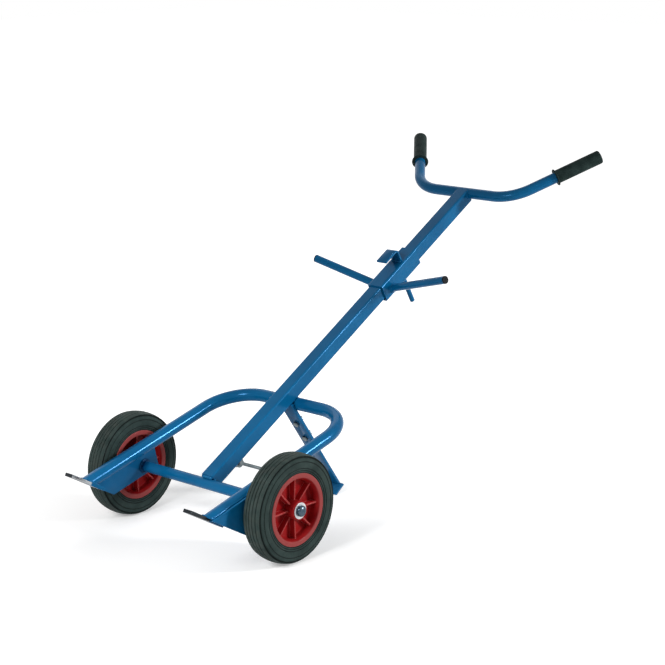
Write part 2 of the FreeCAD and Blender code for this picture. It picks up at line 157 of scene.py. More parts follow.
# Tyres
tyre_half = 0.0265
tyre_belly = 0.099
tyre_shoulder = (0.025, 0.1105)
tyre_tread = (0.021, 0.117)
tyre_corner_inset = (0.0004, 0.0008)
tyre_radius = 0.120
tread_grooves = (-0.0129, -0.0043, 0.0043, 0.0129)
tread_groove_half = 0.0011
tread_groove_depth = 0.0024
tread_groove_steepness = 2.2
side_grooves = (0.0808, 0.0850, 0.0898, 0.1040)
side_groove_half = 0.0011
side_groove_depth = 0.0012
shoulder_groove = 0.1136
shoulder_groove_half = 0.0024
shoulder_groove_depth = 0.0036
tyre_side_steps = 90
tyre_edge_steps = 28
tyre_crown_steps = 168
turn_steps = 144

# Axle end caps
cap_face = 0.2755
cap_bore = 0.010
cap_flange = 0.0015
cap_flange_radius = 0.0180
cap_back_round = 0.0004
cap_front_round = 0.0006
cap_dome_radius = 0.0122
cap_dome_steps = 12
cap_barrel = 0.005
cap_height = 0.0115

# Softened edges
edge_round = 0.0009
bolt_edge_round = 0.0005
edge_segments = 3
sharp_angle = math.radians(35)
flat_angle = math.radians(0.5)
same_point = 1e-7
same_cad_point = 1e-6

# Weld beads, with a radius for each kind of joint
weld_pitch = 0.0034
weld_step = 0.0009
weld_sides = 10
weld_ripple_share = 0.14
weld_chance_share = 0.03
weld_tip_share = 0.02
weld_ring_steps = 48
weld_radius = {
    "arch": 0.0026, "stem_front": 0.0040, "handle_front": 0.0012, "handle_under": 0.0030,
    "prop_arch": 0.0024, "bracket": 0.0022, "axle": 0.0026, "hoop_over": 0.0014, "hoop_below": 0.0020,
    "toe": 0.0024, "stem": 0.0024, "handle": 0.0017, "arm": 0.0020, "claw": 0.0020, "pull": 0.0019,
}

# Places of the beads: a pair is the place to the lower side of a line and the place along it
bead_proud = 0.0008
stem_seam_half = 0.0165
arch_seam_shift = 0.0065
stem_front_seam = (-0.0120, 0.0075)
handle_front_seam = (-0.0166, handle_station - 0.0036)
handle_under_seam = (0.0118, handle_station - 0.0030)
prop_seam_half = 0.019
prop_arch_seam = (0.0142, -0.0065)
bracket_seam_half = 0.0115
bracket_seam = (0.0083, 0.0128)
hoop_over_inset = 0.0009
hoop_over_lower = -0.0075
hoop_below_inset = 0.0015
hoop_below_lower = 0.0086
hoop_seam_start = 0.004
hoop_seam_end = 0.001
toe_bead_proud = 0.0006
flank_bead_proud = 0.0004
stem_seam_radius = 0.0134
stem_seam_degrees = range(-44, 45, 4)
handle_seam_radius = 0.0139
handle_seam_degrees = range(-74, 79, 4)
arm_seam_face = 0.0230
arm_seam = (0.0086, 0.7055)
arm_seam_radii = (0.0104, 0.0100)
claw_seam_half = 0.0140
claw_seams = {"_a": (-0.0216, 0.7672), "_b": (-0.0216, 0.7738)}
pull_seam = (0.0246, 0.7680)
pull_seam_radius = 0.0067


def tilted(base, angle):
    """Place maker for local (x, y, z): z runs up a slope in the Y-Z plane, y to its lower side."""
    along = Vector((0, math.cos(angle), math.sin(angle)))
    lower = Vector((0, math.sin(angle), -math.cos(angle)))
    return lambda x, y, z: base + across * x + lower * y + along * z


on_stem = tilted(tilted(axle, stem_angle)(0, -stem_rise, 0), stem_angle)
on_handle = tilted(on_stem(0, -handle_lift, handle_station), stem_angle - handle_dip)
on_hoop = tilted(tilted(axle, hoop_angle)(0, -hoop_lift, 0), hoop_angle)
hoop_touch = stem_half + hoop_radius - stem_rise
hoop_arch = ((hoop_lift * math.cos(stem_angle - hoop_angle) + hoop_touch)
             / math.sin(stem_angle - hoop_angle))
on_prop = tilted(on_hoop(0, 0, hoop_arch), prop_angle)


def toe_line(lift):
    """Place along the hoop where the toe's top plane lies, at a lift above the axle."""
    meeting = toe_angle + hoop_angle
    return -(toe_reach + lift * math.cos(meeting)) / math.sin(meeting)


toe_base = on_hoop(0, 0, toe_line(hoop_lift))
toe_way = Vector((0, -math.cos(toe_angle), math.sin(toe_angle)))


class Finish:
    """A procedural material, with short calls for its nodes."""

    noise_spread = (0.30, 0.70)
    edge_likeness = (0.995, 0.85)
    edge_samples = 6

    def __init__(self, name, **sockets):
        self.material = bpy.data.materials.new(name)
        self.material.use_nodes = True
        self.tree = self.material.node_tree
        self.surface = self.tree.nodes["Principled BSDF"]
        self.place = self.node("ShaderNodeTexCoord").outputs["Object"]
        self.set(**sockets)

    def set(self, **sockets):
        """Gives the surface's sockets their values, with _ for the blanks in their names."""
        for socket, value in sockets.items():
            self.give(self.surface.inputs[socket.replace("_", " ")], value)

    def node(self, kind, values=None, **settings):
        made = self.tree.nodes.new(kind)
        for name, value in settings.items():
            setattr(made, name, value)
        for name, value in (values or {}).items():
            self.give(made.inputs[name], value)
        return made

    def give(self, socket, value):
        if isinstance(value, bpy.types.NodeSocket):
            self.tree.links.new(value, socket)
        else:
            socket.default_value = value

    def noise(self, scale, detail=4.0, roughness=0.55, stretch=(1, 1, 1)):
        place = self.node("ShaderNodeMapping", {"Vector": self.place, "Scale": stretch}).outputs[0]
        return self.node("ShaderNodeTexNoise", {"Vector": place, "Scale": scale, "Detail": detail,
                                                "Roughness": roughness}).outputs["Fac"]

    def span(self, value, low, high, to_low, to_high):
        """Value brought from one span to another and held inside it."""
        return self.node("ShaderNodeMapRange", {"Value": value, "From Min": low, "From Max": high,
                                                "To Min": to_low, "To Max": to_high}).outputs[0]

    def fade(self, value, none, full):
        """0 where a value is at none, 1 where it is at full, and held beyond them."""
        return self.span(value, none, full, 0.0, 1.0)

    def patches(self, none, full, **noise):
        """Noise that fades in between two of its levels."""
        return self.fade(self.noise(**noise), none, full)

    def uneven(self, least, most, **noise):
        """Value that wanders between two values."""
        return self.span(self.noise(**noise), *self.noise_spread, least, most)

    def math(self, operation, first, second=0.0):
        return self.node("ShaderNodeMath", {0: first, 1: second}, operation=operation).outputs[0]

    def both(self, first, second):
        """Product of two masks."""
        return self.math("MULTIPLY", first, second)

    def vector(self, operation, first, second=(0, 0, 0), output="Vector"):
        made = self.node("ShaderNodeVectorMath", {0: first, 1: second}, operation=operation)
        return made.outputs[output]

    def mix(self, factor, first, second):
        """Colour between two colours, which a mix node takes on sockets 6 and 7 and gives on 2."""
        made = self.node("ShaderNodeMix", data_type="RGBA")
        self.give(made.inputs[0], factor)
        for number, colour in ((6, first), (7, second)):
            plain = not isinstance(colour, bpy.types.NodeSocket)
            self.give(made.inputs[number], (*colour, 1) if plain else colour)
        return made.outputs[2]

    def lay(self, colour, mask, layer, share):
        """Colour with a share of a layer over it where the mask is."""
        return self.mix(self.both(mask, share), colour, layer)

    def bump(self, pattern, depth, below=None):
        """Normal of a bumpy skin, over the normal of a bumpy ground where there is one."""
        values = {"Height": pattern, "Distance": depth, "Strength": 1.0}
        if below is not None:
            values["Normal"] = below
        return self.node("ShaderNodeBump", values).outputs["Normal"]

    def edges(self, radius):
        """1 along sharp edges, falling to 0 on flat ground."""
        eased = self.node("ShaderNodeBevel", {"Radius": radius}, samples=self.edge_samples)
        straight = self.node("ShaderNodeNewGeometry").outputs["Normal"]
        likeness = self.vector("DOT_PRODUCT", eased.outputs["Normal"], straight, "Value")
        return self.fade(likeness, *self.edge_likeness)

    def axle_distance(self):
        """Distance of a point from the axle line."""
        flat = self.vector("MULTIPLY", self.vector("SUBTRACT", self.place, axle), (0, 1, 1))
        return self.vector("LENGTH", flat, output="Value")

    def aside(self):
        """Place of a point along the axle."""
        return self.node("ShaderNodeSeparateXYZ", {0: self.place}).outputs["X"]

    def height(self):
        """Height of a point over the floor."""
        return self.node("ShaderNodeSeparateXYZ", {0: self.place}).outputs["Z"]

    def facing(self):
        """How far the surface faces along the axle, from -1 to 1."""
        normal = self.node("ShaderNodeNewGeometry").outputs["Normal"]
        return self.node("ShaderNodeSeparateXYZ", {0: normal}).outputs["X"]


def blue_paint():
    """Glossy enamel with orange peel, rubbed edges, floor dust and painted shade round the axle welds,
    where the axle tube meets the gussets.
    """
    paint = Finish("blue_paint", Metallic=0.11, Specular_IOR_Level=0.07)
    deep, light, speck = (0.002, 0.093, 0.228), (0.003, 0.117, 0.277), (0.008, 0.150, 0.345)
    worn, scratched = (0.045, 0.210, 0.440), (0.035, 0.170, 0.380)
    dusty, axle_joint_shade = (0.110, 0.160, 0.200), (0.002, 0.020, 0.075)
    colour = paint.mix(paint.patches(0.35, 0.65, scale=7.0, detail=3.0), deep, light)
    specks = paint.patches(0.66, 0.74, scale=520.0, detail=2.0)
    colour = paint.lay(colour, specks, speck, share=0.18)
    wear = paint.both(paint.edges(radius=0.0016), paint.patches(0.50, 0.66, scale=85.0, detail=5.0))
    colour = paint.lay(colour, wear, worn, share=0.55)
    scratches = paint.patches(0.70, 0.74, scale=40.0, detail=6.0, roughness=0.7, stretch=(1.0, 9.0, 0.6))
    colour = paint.lay(colour, scratches, scratched, share=0.25)
    dust = paint.both(paint.fade(paint.height(), none=0.20, full=0.02),
                      paint.patches(0.42, 0.70, scale=26.0, detail=5.0))
    colour = paint.lay(colour, dust, dusty, share=0.16)
    # Painted shade: dark navy where the axle tube meets the gussets, where shade falls at the joint.
    axle_joint_shade_mask = paint.both(paint.fade(paint.axle_distance(), none=0.0195, full=0.0150),
                      paint.fade(paint.math("ABSOLUTE", paint.aside()), none=0.1930, full=0.1985))
    colour = paint.lay(colour, axle_joint_shade_mask, axle_joint_shade, share=0.75)
    dust_rough = paint.both(dust, 0.15)
    rough = paint.math("ADD", paint.uneven(0.13, 0.19, scale=38.0), dust_rough)
    waves = paint.bump(paint.noise(scale=30.0, detail=2.0), depth=0.00002)
    peel = paint.bump(paint.noise(scale=600.0, detail=2.0), depth=0.0000025, below=waves)
    paint.set(Base_Color=colour, Roughness=rough, Normal=peel)
    return paint.material


def tyre_rubber():
    """Solid tyre rubber with moulding rings carrying a painted highlight on their crests, bloom, painted
    shade in the grooves and a dusty tread.
    """
    rubber = Finish("tyre_rubber", Specular_IOR_Level=0.06)
    dark, bloomed, dusty = (0.018, 0.031, 0.029), (0.035, 0.056, 0.052), (0.070, 0.076, 0.068)
    groove_shade, ring_crest_highlight = (0.004, 0.006, 0.006), (0.060, 0.074, 0.070)
    groove_shade_core_share = 1 / 3
    ring_pitch = 0.0021
    distance = rubber.axle_distance()
    colour = rubber.mix(rubber.patches(0.35, 0.68, scale=22.0, detail=5.0), dark, bloomed)
    dust = rubber.both(rubber.fade(distance, none=0.1130, full=0.1185),
                       rubber.patches(0.35, 0.70, scale=60.0, detail=6.0))
    colour = rubber.lay(colour, dust, dusty, share=0.45)
    # Painted shade: darker bands in the side grooves and in the shoulder groove.
    grooves = [(groove, side_groove_half) for groove in side_grooves]
    for groove, half in [*grooves, (shoulder_groove, shoulder_groove_half)]:
        away = rubber.math("ABSOLUTE", rubber.math("SUBTRACT", distance, groove))
        colour = rubber.lay(colour, rubber.fade(away, half, half * groove_shade_core_share), groove_shade, share=0.85)
    # Painted highlight: a lighter colour on the crests of the moulding rings.
    rings = rubber.math("SINE", rubber.math("MULTIPLY", distance, 2 * math.pi / ring_pitch))
    colour = rubber.lay(colour, rubber.fade(rings, none=0.6, full=1.0), ring_crest_highlight, share=0.16)
    rough = rubber.uneven(0.50, 0.72, scale=75.0)
    ridges = rubber.bump(rings, depth=0.00008)
    grain = rubber.bump(rubber.noise(scale=900.0, detail=3.0), depth=0.00010, below=ridges)
    rubber.set(Base_Color=colour, Roughness=rough, Normal=grain)
    return rubber.material


def red_plastic():
    """Moulded glossy red with flow shade, painted light on the rib flanks, a painted highlight on the lip,
    scuffed edges with a painted highlight along them, and a light skin.
    """
    red = Finish("red_plastic", Specular_IOR_Level=0.04, Coat_Weight=0.04, Coat_Roughness=0.10)
    # flank is painted light for the rib flanks, pale a painted highlight for the lip.
    deep, light, flank = (0.250, 0.007, 0.009), (0.325, 0.013, 0.014), (0.400, 0.014, 0.018)
    pale, scuffed_and_highlight = (0.300, 0.068, 0.066), (0.760, 0.190, 0.180)
    dish_blend = 0.001
    lip_blend = 0.002
    colour = red.mix(red.patches(0.32, 0.68, scale=30.0, detail=3.0), deep, light)
    distance = red.axle_distance()
    dish = red.both(red.fade(distance, boss_radius, boss_radius + dish_blend),
                    red.fade(distance, barrel_bore, barrel_bore - dish_blend))
    # Painted light: the rib flanks in the dish get a paler red that lifts their shade.
    lit_rib_flanks = red.both(red.fade(red.math("ABSOLUTE", red.facing()), none=0.50, full=0.20), dish)
    colour = red.mix(lit_rib_flanks, colour, flank)
    # Painted highlight: a paler band on the lip.
    lip_highlight = red.fade(distance, rim_mouth - lip_blend, rim_mouth)
    colour = red.lay(colour, lip_highlight, pale, share=0.8)
    # Scuffed edges and painted highlight: a light red along the edges, nearly all round.
    scuffs_and_edge_highlight = red.both(red.edges(radius=0.0014), red.patches(0.20, 0.46, scale=120.0))
    colour = red.lay(colour, scuffs_and_edge_highlight, scuffed_and_highlight, share=0.72)
    rough = red.uneven(0.24, 0.38, scale=48.0)
    skin = red.bump(red.noise(scale=420.0, detail=2.0), depth=0.00004)
    red.set(Base_Color=colour, Roughness=rough, Normal=skin)
    return red.material


def plated_steel(name, dull, bright):
    """Zinc plate with cloudy brightness, faint draw lines and dull spots."""
    zinc = Finish(name, Metallic=1.0)
    spotted = (0.190, 0.195, 0.195)
    colour = zinc.mix(zinc.patches(0.32, 0.68, scale=70.0, detail=5.0), dull, bright)
    spots = zinc.patches(0.64, 0.72, scale=260.0, detail=3.0)
    colour = zinc.lay(colour, spots, spotted, share=0.5)
    rough = zinc.uneven(0.26, 0.46, scale=180.0, detail=3.0)
    draw = zinc.noise(scale=900.0, detail=2.0, roughness=0.5, stretch=(0.15, 1.0, 1.0))
    zinc.set(Base_Color=colour, Roughness=rough, Normal=zinc.bump(draw, depth=0.00003))
    return zinc.material


def zinc_steel():
    """Dulled plating of the stay, the axle and the bolts."""
    return plated_steel("zinc_steel", dull=(0.085, 0.108, 0.118), bright=(0.165, 0.195, 0.205))


def bright_zinc():
    """Fresh plating of the axle caps' flanges."""
    return plated_steel("bright_zinc", dull=(0.400, 0.410, 0.425), bright=(0.580, 0.590, 0.600))


def cap_steel():
    """Dark blue metal of the push-on caps' domes, a painted reflection of dark surroundings on a bright
    dome.
    """
    blued = Finish("cap_steel", Metallic=1.0)
    # Painted reflection: the dome's dark blue stands for dark surroundings seen in it.
    dark, light = (0.035, 0.060, 0.085), (0.075, 0.105, 0.135)
    colour = blued.mix(blued.patches(0.35, 0.65, scale=150.0, detail=3.0), dark, light)
    rough = blued.uneven(0.18, 0.32, scale=260.0, detail=3.0)
    skin = blued.bump(blued.noise(scale=700.0, detail=2.0), depth=0.00003)
    blued.set(Base_Color=colour, Roughness=rough, Normal=skin)
    return blued.material


def toe_steel():
    """Flat steel bar: painted heel, dark rolled faces, inner sides painted bright as a painted reflection
    of the lit floor, and corners rubbed bright.
    """
    steel = Finish("toe_steel", Specular_IOR_Level=0.06)
    dark, rolled, bright = (0.020, 0.024, 0.028), (0.045, 0.051, 0.056), (0.560, 0.590, 0.610)
    rubbed, bare, blue = (0.220, 0.230, 0.240), (0.380, 0.385, 0.390), (0.002, 0.100, 0.235)
    bare_metallic = 0.85
    colour = steel.mix(steel.patches(0.34, 0.68, scale=65.0, detail=5.0), dark, rolled)
    # Painted reflection: the inner sides get a bright grey that stands for the lit floor they reflect.
    outward = steel.math("MULTIPLY", steel.facing(), steel.math("SIGN", steel.aside()))
    reflection_patches = steel.span(steel.noise(scale=45.0), 0.20, 0.60, to_low=0.55, to_high=1.0)
    inner_side_reflection = steel.both(steel.fade(outward, none=-0.80, full=-0.95), reflection_patches)
    colour = steel.mix(inner_side_reflection, colour, bright)
    streaks = steel.patches(0.58, 0.74, scale=30.0, detail=6.0, roughness=0.65, stretch=(5.0, 0.7, 0.7))
    colour = steel.lay(colour, streaks, rubbed, share=0.35)
    corners = steel.both(steel.edges(radius=0.0015), steel.patches(0.38, 0.60, scale=130.0))
    colour = steel.lay(colour, corners, bare, share=0.5)
    forward = steel.vector("DOT_PRODUCT", steel.vector("SUBTRACT", steel.place, toe_base), toe_way, "Value")
    painted = steel.fade(forward, none=0.0100, full=0.0070)
    colour = steel.mix(painted, colour, blue)
    metallic = steel.span(painted, 0.0, 1.0, to_low=bare_metallic, to_high=0.0)
    rough = steel.uneven(0.14, 0.24, scale=110.0)
    pits = steel.bump(steel.noise(scale=520.0), depth=0.00002)
    steel.set(Base_Color=colour, Metallic=metallic, Roughness=rough, Normal=pits)
    return steel.material


def grip_rubber():
    """Soft black grip plastic with a fine leathery grain and palm polish."""
    grip = Finish("grip_rubber", Specular_IOR_Level=0.02)
    dark, polished = (0.011, 0.020, 0.019), (0.026, 0.043, 0.041)
    colour = grip.mix(grip.patches(0.32, 0.70, scale=45.0), dark, polished)
    rough = grip.uneven(0.42, 0.60, scale=60.0)
    cells = grip.node("ShaderNodeTexVoronoi", {"Vector": grip.place, "Scale": 420.0}).outputs["Distance"]
    grip.set(Base_Color=colour, Roughness=rough, Normal=grip.bump(cells, depth=0.00018))
    return grip.material


def black_plastic():
    """Satin black of the small end caps."""
    black = Finish("black_plastic", Specular_IOR_Level=0.04)
    dark, light = (0.003, 0.004, 0.005), (0.010, 0.012, 0.014)
    colour = black.mix(black.patches(0.34, 0.68, scale=90.0), dark, light)
    rough = black.uneven(0.32, 0.50, scale=120.0, detail=3.0)
    skin = black.bump(black.noise(scale=650.0, detail=2.0), depth=0.00005)
    black.set(Base_Color=colour, Roughness=rough, Normal=skin)
    return black.material


def bush_nylon():
    """Off-white nylon of the wheel bushes."""
    nylon = Finish("bush_nylon", IOR=1.53)
    dark, light = (0.560, 0.550, 0.500), (0.700, 0.690, 0.640)
    colour = nylon.mix(nylon.patches(0.34, 0.68, scale=140.0), dark, light)
    rough = nylon.uneven(0.40, 0.55, scale=160.0, detail=3.0)
    skin = nylon.bump(nylon.noise(scale=500.0, detail=2.0), depth=0.00005)
    nylon.set(Base_Color=colour, Roughness=rough, Normal=skin)
    return nylon.material


finishes = {make.__name__: make() for make in (
    blue_paint, tyre_rubber, red_plastic, zinc_steel, bright_zinc, cap_steel, toe_steel,
    grip_rubber, black_plastic, bush_nylon)}


def piece(name, mesh, body, slot, *materials):
    """Mesh object that rides on a body, smooth but for its sharp edges."""
    mesh.set_sharp_from_angle(angle=sharp_angle)
    for material in materials or (finishes[slot],):
        mesh.materials.append(material)
    made = bpy.data.objects.new(name, mesh)
    bpy.context.scene.collection.objects.link(made)
    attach(made, body)
    return made


def smooth_mesh(name, points, faces):
    """Mesh of points and faces, with its doubled points joined and all its faces smooth."""
    mesh = bpy.data.meshes.new(name)
    mesh.from_pydata([tuple(point) for point in points], [], faces)
    work = bmesh.new()
    work.from_mesh(mesh)
    bmesh.ops.remove_doubles(work, verts=work.verts, dist=same_point)
    bmesh.ops.recalc_face_normals(work, faces=work.faces)
    for face in work.faces:
        face.smooth = True
    work.to_mesh(mesh)
    work.free()
    return mesh


def join(points, faces, more_points, more_faces):
    """Adds the points and faces of a second shape to those of a first."""
    faces += [[index + len(points) for index in polygon] for polygon in more_faces]
    points += more_points


def eased(start, corner, end, share):
    """Point at a share of the way along the curve that rounds a corner off."""
    return start.lerp(corner, share).lerp(corner.lerp(end, share), share)


def rounded(corners, steps=4):
    """Closed outline of (along, out, round) corners, each corner eased by its round."""
    outline = []
    count = len(corners)
    for number, (along, out, ease) in enumerate(corners):
        corner = Vector((along, out))
        if not ease:
            outline.append(corner)
            continue
        before = Vector(corners[number - 1][:2]) - corner
        after = Vector(corners[(number + 1) % count][:2]) - corner
        start = corner + before.normalized() * min(ease, before.length / 2)
        end = corner + after.normalized() * min(ease, after.length / 2)
        outline += [eased(start, corner, end, step / steps) for step in range(steps + 1)]
    return outline


def turned(outline, base, axis, count=turn_steps):
    """Points and faces of a closed outline of (along, out) pairs turned about an axis line."""
    axis = axis.normalized()
    first = axis.orthogonal().normalized()
    second = axis.cross(first)
    points, faces = [], []
    size = len(outline)
    for turn in range(count):
        angle = 2 * math.pi * turn / count
        outward = first * math.cos(angle) + second * math.sin(angle)
        points += [base + axis * along + outward * out for along, out in outline]
        here, there = turn * size, (turn + 1) % count * size
        for place in range(size):
            following = (place + 1) % size
            faces.append((here + place, here + following, there + following, there + place))
    return points, faces


def wheel_centre(sign):
    """Middle of a wheel on the axle line."""
    return axle + across * (sign * wheel_middle)


def round_groove(distance, half):
    """Share of a rounded groove's depth at a distance from its middle."""
    return math.sqrt(max(0.0, 1 - abs(distance) / half))


def tyre_side():
    """Bulging side from the rim to the shoulder, with its grooves, as (along, out) pairs."""
    low, high = (rim_half, rim_radius), tyre_shoulder
    wide, tall = high[0] - low[0], high[1] - low[1]
    belly_share = (tyre_belly - low[1]) / tall
    bulge = tyre_half - low[0] - wide * belly_share
    side = []
    for step in range(tyre_side_steps + 1):
        share = step / tyre_side_steps
        out = low[1] + tall * share
        bend = share * (1 - share) / (belly_share * (1 - belly_share))
        along = low[0] + wide * share + bulge * bend
        for groove in side_grooves:
            along -= side_groove_depth * round_groove(out - groove, side_groove_half)
        side.append((along, out))
    return side


def tyre_edge():
    """Rounded edge between the side and the tread, with the shoulder's groove."""
    start, end = Vector(tyre_shoulder), Vector(tyre_tread)
    corner = Vector((tyre_shoulder[0] - tyre_corner_inset[0], tyre_tread[1] - tyre_corner_inset[1]))
    edge = []
    for step in range(1, tyre_edge_steps):
        along, out = eased(start, corner, end, step / tyre_edge_steps)
        depth = shoulder_groove_depth * round_groove(out - shoulder_groove, shoulder_groove_half)
        edge.append((along - depth, out))
    return edge


def tyre_crown():
    """Arched tread from side to side, with its steep grooves."""
    half, low = tyre_tread
    crown = []
    for step in range(tyre_crown_steps + 1):
        along = half * (1 - 2 * step / tyre_crown_steps)
        out = tyre_radius - (tyre_radius - low) * (along / half) ** 2
        for groove in tread_grooves:
            flank = tread_groove_steepness * (1 - abs(along - groove) / tread_groove_half)
            out -= tread_groove_depth * min(1.0, max(0.0, flank))
        crown.append((along, out))
    return crown


def dress_tyre(name, sign):
    """Tyre with moulded side rings and tread grooves."""
    side = tyre_side() + tyre_edge()
    far_side = [(-along, out) for along, out in reversed(side)]
    bed = [(-rim_bed_half, rim_bed_radius), (rim_bed_half, rim_bed_radius), (rim_bed_half, rim_radius)]
    outline = bed + side + tyre_crown() + far_side + [(-rim_bed_half, rim_radius)]
    points, faces = turned(outline, wheel_centre(sign), across)
    made = piece("tyre_" + name + "_dressed", smooth_mesh("tyre_" + name, points, faces),
                 "wheel_" + name, "tyre_rubber")
    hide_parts("tyre_" + name)


def rib_block(base, turn, face):
    """Points and faces of a tapered rib between the boss and the barrel on one face of the web."""
    near, far = boss_radius - rib_sink, barrel_bore + rib_sink
    root = web_half - rib_sink
    outward = Vector((0, math.cos(turn), math.sin(turn)))
    aside = Vector((0, -math.sin(turn), math.cos(turn)))
    profile = [(root, near, rib_root_half), (rib_boss_face, near, rib_crest_half),
               (rib_rim_face, far, rib_crest_half), (root, far, rib_root_half)]
    work = bmesh.new()
    corners = []
    for along, out, half in profile:
        middle = base + across * (face * along) + outward * out
        corners.append([work.verts.new(middle + aside * shift) for shift in (-half, half)])
    work.faces.new([pair[0] for pair in corners])
    work.faces.new([pair[1] for pair in reversed(corners)])
    for first, second in zip(corners, corners[1:] + corners[:1]):
        work.faces.new((first[0], first[1], second[1], second[0]))
    bmesh.ops.recalc_face_normals(work, faces=work.faces)
    bmesh.ops.bevel(work, geom=list(work.edges), offset=rib_round, segments=2, affect="EDGES")
    work.verts.index_update()
    points = [vert.co.copy() for vert in work.verts]
    faces = [[vert.index for vert in polygon.verts] for polygon in work.faces]
    work.free()
    return points, faces


def dress_rim(name, sign):
    """Moulded wheel centre with rounded lips, flared barrel, boss and ribs."""
    base = wheel_centre(sign)
    lip_face = rim_half + rim_lip_proud
    half_outline = [(hub_half, bush_radius, bush_mouth_round), (hub_half, boss_radius, boss_round),
                    (web_half, boss_radius, boss_root_round), (web_half, barrel_bore, barrel_round),
                    (rim_half - flare_depth, barrel_bore, barrel_round),
                    (lip_face, rim_lip[0], rim_lip_inner_round),
                    (lip_face, rim_lip[1], rim_lip_outer_round), (rim_half, rim_lip[1], 0),
                    (rim_bed_half, rim_radius, 0), (rim_bed_half, rim_bed_radius, 0)]
    outline = half_outline + [(-along, out, ease) for along, out, ease in reversed(half_outline)]
    points, faces = turned(rounded(outline), base, across)
    for face in (1, -1):
        for number in range(rib_count):
            turn = 2 * math.pi * number / rib_count + math.pi / 2
            join(points, faces, *rib_block(base, turn, face))
    made = piece("rim_" + name + "_dressed", smooth_mesh("rim_" + name, points, faces),
                 "wheel_" + name, "red_plastic")
    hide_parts("rim_" + name)


def dress_cap(name, sign):
    """Push-on axle cap: bright flange and dark dome."""
    base = axle + across * (sign * cap_face)
    flange = rounded([(0.0, cap_bore, 0), (0.0, cap_flange_radius, cap_back_round),
                      (cap_flange, cap_flange_radius, cap_front_round),
                      (cap_flange, cap_dome_radius, cap_front_round)])
    dome = [(cap_flange, cap_bore), (cap_flange, cap_dome_radius), (cap_barrel, cap_dome_radius)]
    rise = cap_height - cap_barrel
    for step in range(1, cap_dome_steps + 1):
        turn = step / cap_dome_steps * math.pi / 2
        dome.append((cap_barrel + rise * math.sin(turn), cap_dome_radius * math.cos(turn)))
    points, faces = turned(flange, base, across * sign)
    flange_count = len(faces)
    join(points, faces, *turned(dome, base, across * sign))
    mesh = smooth_mesh("axle_cap_" + name, points, faces)
    for polygon in mesh.polygons:
        polygon.material_index = int(polygon.index >= flange_count)
    made = piece("axle_cap_" + name, mesh, "frame", "zinc_steel",
                 finishes["bright_zinc"], finishes["cap_steel"])
    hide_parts("axle_caps")


def dress_grip(name, sign):
    """Moulded grip with a round guard flange and an eased end."""
    corner = on_handle(sign * handle_corner, 0, 0)
    unit = on_handle(sign * handle_corner + sign * math.cos(handle_splay), 0, math.sin(handle_splay))
    direction = unit - corner
    base = corner + direction * (handle_arm - grip_length)
    tube_end = grip_length - grip_end_wall
    outline = rounded([(0.0, handle_radius, grip_mouth_round),
                       (0.0, grip_flange_radius, grip_flange_round),
                       (grip_flange, grip_flange_radius, grip_flange_round),
                       (grip_flange, grip_radius, grip_neck_round),
                       (grip_length, grip_radius, grip_end_round), (grip_length, 0.0, 0),
                       (tube_end, 0.0, 0), (tube_end, handle_radius, 0)])
    points, faces = turned(outline, base, direction, grip_turn_steps)
    made = piece("grip_" + name + "_dressed", smooth_mesh("grip_" + name, points, faces),
                 "frame", "grip_rubber")
    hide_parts("grip_" + name)


def dress_softened(node, width=edge_round):
    """Copy of a CAD node with its sharp edges eased, standing for the node."""
    source = frame["nodes"][node]
    subpart = next(part for part in frame["record"]["subparts"] if part["node"] == node)
    work = bmesh.new()
    work.from_mesh(source.data)
    bmesh.ops.remove_doubles(work, verts=work.verts, dist=same_cad_point)
    bmesh.ops.dissolve_limit(work, angle_limit=flat_angle, verts=work.verts, edges=work.edges)
    sharp = [edge for edge in work.edges
             if len(edge.link_faces) == 2 and edge.calc_face_angle() > sharp_angle]
    bmesh.ops.bevel(work, geom=sharp, offset=width, segments=edge_segments, profile=0.5,
                    affect="EDGES", clamp_overlap=True)
    for face in work.faces:
        face.smooth = True
    mesh = bpy.data.meshes.new(node + "_dressed")
    work.to_mesh(mesh)
    work.free()
    made = piece(node + "_dressed", mesh, source["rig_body"], subpart["material_slot"])
    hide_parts(node)


def full_turn():
    """Angles of a closed path, whose last point is its first."""
    return [2 * math.pi * number / weld_ring_steps for number in range(weld_ring_steps + 1)]


def ring(centre, first, second):
    """Closed path round a centre, from two half-width arms."""
    return [centre + first * math.cos(turn) + second * math.sin(turn) for turn in full_turn()]


def crossing(place, half, lower, along):
    """Straight path across a tilted piece, from side to side."""
    return [place(x, lower, along) for x in (-half, half)]


def resampled(path, step):
    """Points at an even step along a path."""
    spans = [(second - first).length for first, second in zip(path, path[1:])]
    count = max(4, round(sum(spans) / step))
    points, place, done = [], 0, 0.0
    for number in range(count + 1):
        target = sum(spans) * number / count
        while place < len(spans) - 1 and done + spans[place] < target:
            done += spans[place]
            place += 1
        share = (target - done) / spans[place] if spans[place] else 0
        points.append(path[place].lerp(path[place + 1], min(1.0, share)))
    return points


